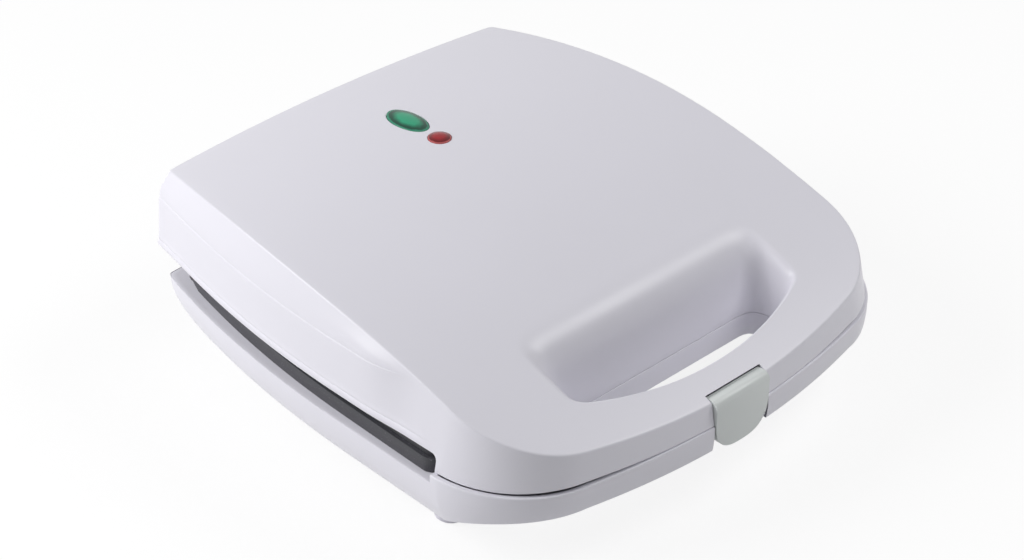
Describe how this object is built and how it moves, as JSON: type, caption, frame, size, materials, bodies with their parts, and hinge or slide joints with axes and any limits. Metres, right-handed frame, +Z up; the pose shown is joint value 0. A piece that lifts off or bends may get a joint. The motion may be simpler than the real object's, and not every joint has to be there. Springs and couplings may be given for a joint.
{
  "type": "sandwich toaster",
  "caption": "Sandwich toaster with a hinged white lid, a handle with a finger opening split between lid and base, a clip latch, two lamps and coated plates with triangular pockets.",
  "frame": {"origin": "centre of the bounding box in plan, on the plane the feet stand on", "axes": "+Z up, -Y towards the handle and latch, +X to the right seen from the handle's side"},
  "size_m": [0.2658, 0.2882, 0.1041],
  "materials": {
    "base_plastic": "white moulded plastic, satin with a fine grain",
    "lid_plastic": "white moulded plastic, satin with a fine grain",
    "plate_coating": "cast aluminium with a dark non-stick coating",
    "steel": "zinc-plated steel",
    "element_steel": "heat-tinted steel tube",
    "ceramic": "unglazed ceramic",
    "reflector": "bright rolled sheet",
    "phenolic": "moulded phenolic",
    "ivory_plastic": "matt moulded plastic",
    "lamp_glass": "clear glass",
    "green_lens": "clear tinted plastic",
    "red_lens": "clear tinted plastic",
    "latch_plastic": "satin moulded plastic",
    "sleeve": "matt",
    "brass": "plain",
    "wire_jacket": "matt silicone",
    "foot_rubber": "matt"
  },
  "bodies": {
    "base": {"base_cover": "base_plastic", "lower_plate": "plate_coating", "lower_plate_screws": "steel", "lower_element": "element_steel", "lower_element_beads": "ceramic", "lower_straps": "steel", "lower_strap_rivets": "steel", "lower_reflector": "reflector", "hinge_pins": "steel", "hinge_clips": "steel", "wire_sleeve": "sleeve", "cord_bush": "sleeve", "terminal_block": "ivory_plastic", "terminal_screws": "brass", "earth_tag": "brass", "base_wiring": "wire_jacket", "front_feet": "foot_rubber", "rear_feet": "foot_rubber"},
    "lid": {"lid_cover": "lid_plastic", "upper_plate": "plate_coating", "upper_plate_screws": "steel", "upper_element": "element_steel", "upper_element_beads": "ceramic", "upper_straps": "steel", "upper_strap_rivets": "steel", "upper_reflector": "reflector", "thermostat": "phenolic", "thermostat_rivets": "steel", "thermal_fuse": "steel", "lamp_holder": "ivory_plastic", "lamp_holder_screws": "steel", "neon_lamps": "lamp_glass", "green_lens": "green_lens", "red_lens": "red_lens", "latch_pin": "steel", "lid_wiring": "wire_jacket"},
    "latch": {"latch": "latch_plastic"}
  },
  "joints": [
    {"name": "lid_hinge", "type": "hinge", "parent": "base", "child": "lid", "pos_m": [0, 0.13187, 0.047], "axis": [-1, 0, 0], "range_deg": [0, 100]},
    {"name": "latch_hinge", "type": "hinge", "parent": "lid", "child": "latch", "pos_m": [0, -0.13933, 0.05323], "axis": [-1, 0, 0], "range_deg": [0, 55]}
  ]
}
